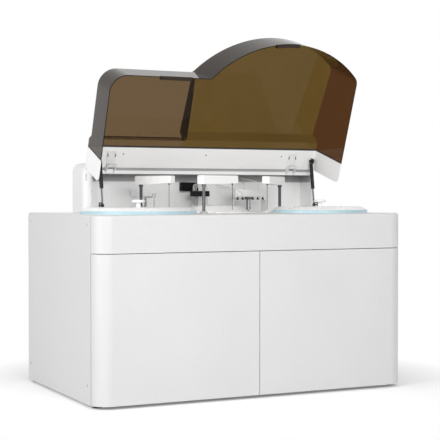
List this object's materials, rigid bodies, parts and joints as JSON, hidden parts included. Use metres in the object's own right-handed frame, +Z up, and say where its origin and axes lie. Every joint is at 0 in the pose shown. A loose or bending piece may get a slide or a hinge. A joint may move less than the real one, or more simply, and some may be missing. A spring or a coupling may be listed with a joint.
{
  "type": "chemistry analyzer",
  "caption": "Floor-standing chemistry analyzer with a raised smoked lid, covered turntables, swinging probe arms, a reaction ring and a two-door cabinet.",
  "frame": {"origin": "on the floor under the middle of the object's footprint", "axes": "+Z up, +Y towards the back, +X to the right seen from the front"},
  "size_m": [1.694, 1.04, 1.8381],
  "materials": {
    "white_paint": "satin",
    "white_plastic": "satin",
    "white_lid": "satin",
    "grey_metal": "matte",
    "steel": "brushed",
    "black_plastic": "matte",
    "dark_plastic": "satin",
    "smoked_plastic": "polished",
    "black_rubber": "matte",
    "clear_plastic": "polished",
    "tube_plastic": "satin",
    "jug_plastic": "satin",
    "blue_white": "satin"
  },
  "bodies": {
    "cabinet": {"base_tray": "grey_metal", "levelling_feet": "black_rubber", "cabinet_frame": "grey_metal", "side_panels": "white_paint", "panel_screws": "steel", "rear_panel": "white_paint", "power_inlet": "black_plastic", "front_fascia": "white_paint", "door_pivots": "steel", "deck_plate": "white_paint", "wash_wells": "black_plastic", "deck_guides": "black_plastic", "supply_jugs": "jug_plastic", "turntable_tubs": "grey_metal", "turntable_motors": "black_plastic", "reaction_cover": "white_plastic", "post_mixer": "dark_plastic", "manifold_bridge": "white_paint", "manifold_box": "white_plastic", "manifold_fittings": "black_plastic", "manifold_tubing": "tube_plastic", "rear_housing": "white_plastic", "housing_lip": "white_paint", "wall_boxes": "black_plastic", "hinge_bases": "steel", "strut_bases": "steel"},
    "sample_carousel": {"sample_turntable": "grey_metal", "sample_tubes": "clear_plastic"},
    "reagent_carousel": {"reagent_turntable": "grey_metal", "reagent_bottles": "white_plastic"},
    "sample_lid": {"sample_cover": "blue_white"},
    "reagent_lid": {"reagent_cover": "blue_white"},
    "reaction_carousel": {"reaction_ring": "clear_plastic"},
    "mixer_column": {"mixer_shaft": "steel"},
    "mixer_bar": {"mixer_arm": "dark_plastic"},
    "mixer_paddle": {"mixer_stirrer": "steel"},
    "post_paddle": {"post_mixer_stirrer": "steel"},
    "wash_head": {"wash_block": "black_plastic", "wash_nozzles": "steel", "wash_tubing": "tube_plastic"},
    "left_door_leaf": {"left_door": "white_paint"},
    "right_door_leaf": {"right_door": "white_paint"},
    "power_rocker": {"switch_rocker": "black_plastic"},
    "main_lid": {"lid_frame": "white_lid", "lid_gasket": "black_rubber", "lid_canopy": "smoked_plastic", "lid_grips": "smoked_plastic", "hinge_leaves": "steel", "lid_studs": "steel"},
    "strut_barrels": {"strut_cylinders": "black_plastic"},
    "strut_pistons": {"strut_rods": "steel"},
    "left_column": {"left_probe_shaft": "steel"},
    "left_arm": {"left_probe_cover": "white_plastic", "left_probe_needle": "steel"},
    "centre_column": {"centre_probe_shaft": "steel"},
    "centre_arm": {"centre_probe_cover": "white_plastic", "centre_probe_needle": "steel"},
    "right_column": {"right_probe_shaft": "steel"},
    "right_arm": {"right_probe_cover": "white_plastic", "right_probe_needle": "steel"}
  },
  "joints": [
    {"name": "lid_hinge", "type": "hinge", "parent": "cabinet", "child": "main_lid", "pos_m": [0, 0.27, 1.147], "axis": [1, 0, 0], "range_deg": [0, 69.8]},
    {"name": "strut_pivot", "type": "hinge", "parent": "main_lid", "child": "strut_barrels", "pos_m": [0, 0.25678, 1.18582], "axis": [1, 0, 0], "range_deg": [-63.81, 0]},
    {"name": "strut_stroke", "type": "slide", "parent": "strut_barrels", "child": "strut_pistons", "axis": [0, 0.1468, 0.9892], "range_m": [0, 0.04034]},
    {"name": "left_door_hinge", "type": "hinge", "parent": "cabinet", "child": "left_door_leaf", "pos_m": [-0.837, -0.453, 0], "axis": [0, 0, 1], "range_deg": [-110, 0]},
    {"name": "right_door_hinge", "type": "hinge", "parent": "cabinet", "child": "right_door_leaf", "pos_m": [0.837, -0.453, 0], "axis": [0, 0, 1], "range_deg": [0, 110]},
    {"name": "power_rocker_tilt", "type": "hinge", "parent": "cabinet", "child": "power_rocker", "pos_m": [-0.62, 0.514, 0.24], "axis": [1, 0, 0], "range_deg": [0, 16]},
    {"name": "sample_carousel_spin", "type": "hinge", "parent": "cabinet", "child": "sample_carousel", "pos_m": [-0.507, -0.2, 0.8], "axis": [0, 0, 1], "continuous": true},
    {"name": "reagent_carousel_spin", "type": "hinge", "parent": "cabinet", "child": "reagent_carousel", "pos_m": [0.526, -0.205, 0.8], "axis": [0, 0, 1], "continuous": true},
    {"name": "reaction_ring_spin", "type": "hinge", "parent": "cabinet", "child": "reaction_carousel", "pos_m": [0.08, 0.14, 0.85], "axis": [0, 0, 1], "continuous": true},
    {"name": "sample_cover_lift", "type": "slide", "parent": "cabinet", "child": "sample_lid", "axis": [0, 0, -1], "range_m": [-0.06, 0]},
    {"name": "reagent_cover_lift", "type": "slide", "parent": "cabinet", "child": "reagent_lid", "axis": [0, 0, -1], "range_m": [-0.06, 0]},
    {"name": "left_probe_lift", "type": "slide", "parent": "cabinet", "child": "left_column", "axis": [0, 0, 1], "range_m": [-0.04, 0.022]},
    {"name": "left_probe_swing", "type": "hinge", "parent": "left_column", "child": "left_arm", "pos_m": [-0.328, 0.2, 1.07], "axis": [0, 0, 1], "range_deg": [-33.39, 50.97]},
    {"name": "centre_probe_lift", "type": "slide", "parent": "cabinet", "child": "centre_column", "axis": [0, 0, 1], "range_m": [-0.04, 0.022]},
    {"name": "centre_probe_swing", "type": "hinge", "parent": "centre_column", "child": "centre_arm", "pos_m": [-0.146, -0.19, 1.07], "axis": [0, 0, 1], "range_deg": [0, 54.65]},
    {"name": "right_probe_lift", "type": "slide", "parent": "cabinet", "child": "right_column", "axis": [0, 0, 1], "range_m": [-0.04, 0.022]},
    {"name": "right_probe_swing", "type": "hinge", "parent": "right_column", "child": "right_arm", "pos_m": [0.463, 0.12, 1.07], "axis": [0, 0, 1], "range_deg": [-21.16, 20.79]},
    {"name": "mixer_lift", "type": "slide", "parent": "cabinet", "child": "mixer_column", "axis": [0, 0, 1], "range_m": [-0.04, 0.022]},
    {"name": "mixer_swing", "type": "hinge", "parent": "mixer_column", "child": "mixer_bar", "pos_m": [-0.261, 0.3, 0.98], "axis": [0, 0, 1], "range_deg": [0, 62.02]},
    {"name": "mixer_spin", "type": "hinge", "parent": "mixer_bar", "child": "mixer_paddle", "pos_m": [-0.28123, 0.13524, 0.95], "axis": [0, 0, 1], "continuous": true},
    {"name": "post_mixer_spin", "type": "hinge", "parent": "cabinet", "child": "post_paddle", "pos_m": [0.294, 0.15, 0.95], "axis": [0, 0, 1], "continuous": true},
    {"name": "wash_head_lift", "type": "slide", "parent": "cabinet", "child": "wash_head", "axis": [0, 0, 1], "range_m": [-0.075, 0]}
  ],
  "couplings": [
    {"joint": "strut_pivot", "follows": "lid_hinge", "ratio": -0.91421},
    {"joint": "strut_stroke", "follows": "lid_hinge", "m_per_rad": 0.033118}
  ]
}
